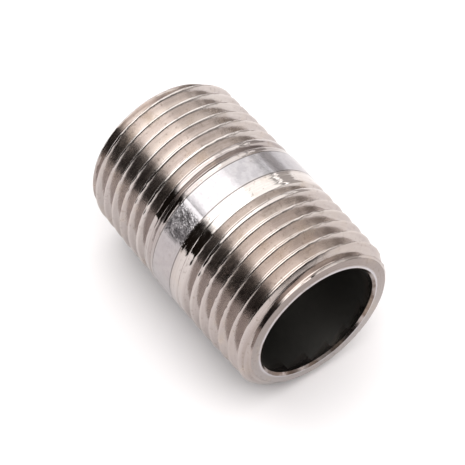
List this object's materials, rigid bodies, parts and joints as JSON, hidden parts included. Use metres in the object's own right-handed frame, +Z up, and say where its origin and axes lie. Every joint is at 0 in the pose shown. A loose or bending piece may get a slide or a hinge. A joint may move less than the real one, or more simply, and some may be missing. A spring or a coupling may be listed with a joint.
{
  "type": "close pipe nipple",
  "caption": "Short open pipe with a right-hand taper thread on each end, a narrow plain band between them and chamfered ends.",
  "frame": {"origin": "centre of the pipe, on its axis, halfway between the end faces", "axes": "+X along the pipe's axis towards the end with the shorter thread, +Z up with the pipe lying on its side, +Y to complete a right-handed frame"},
  "size_m": [0.0254, 0.0172, 0.0172],
  "materials": {
    "steel": "bright machined steel with fine tool marks, a satin plain band and slight brown staining"
  },
  "bodies": {
    "root": {"nipple": "steel"}
  },
  "joints": []
}
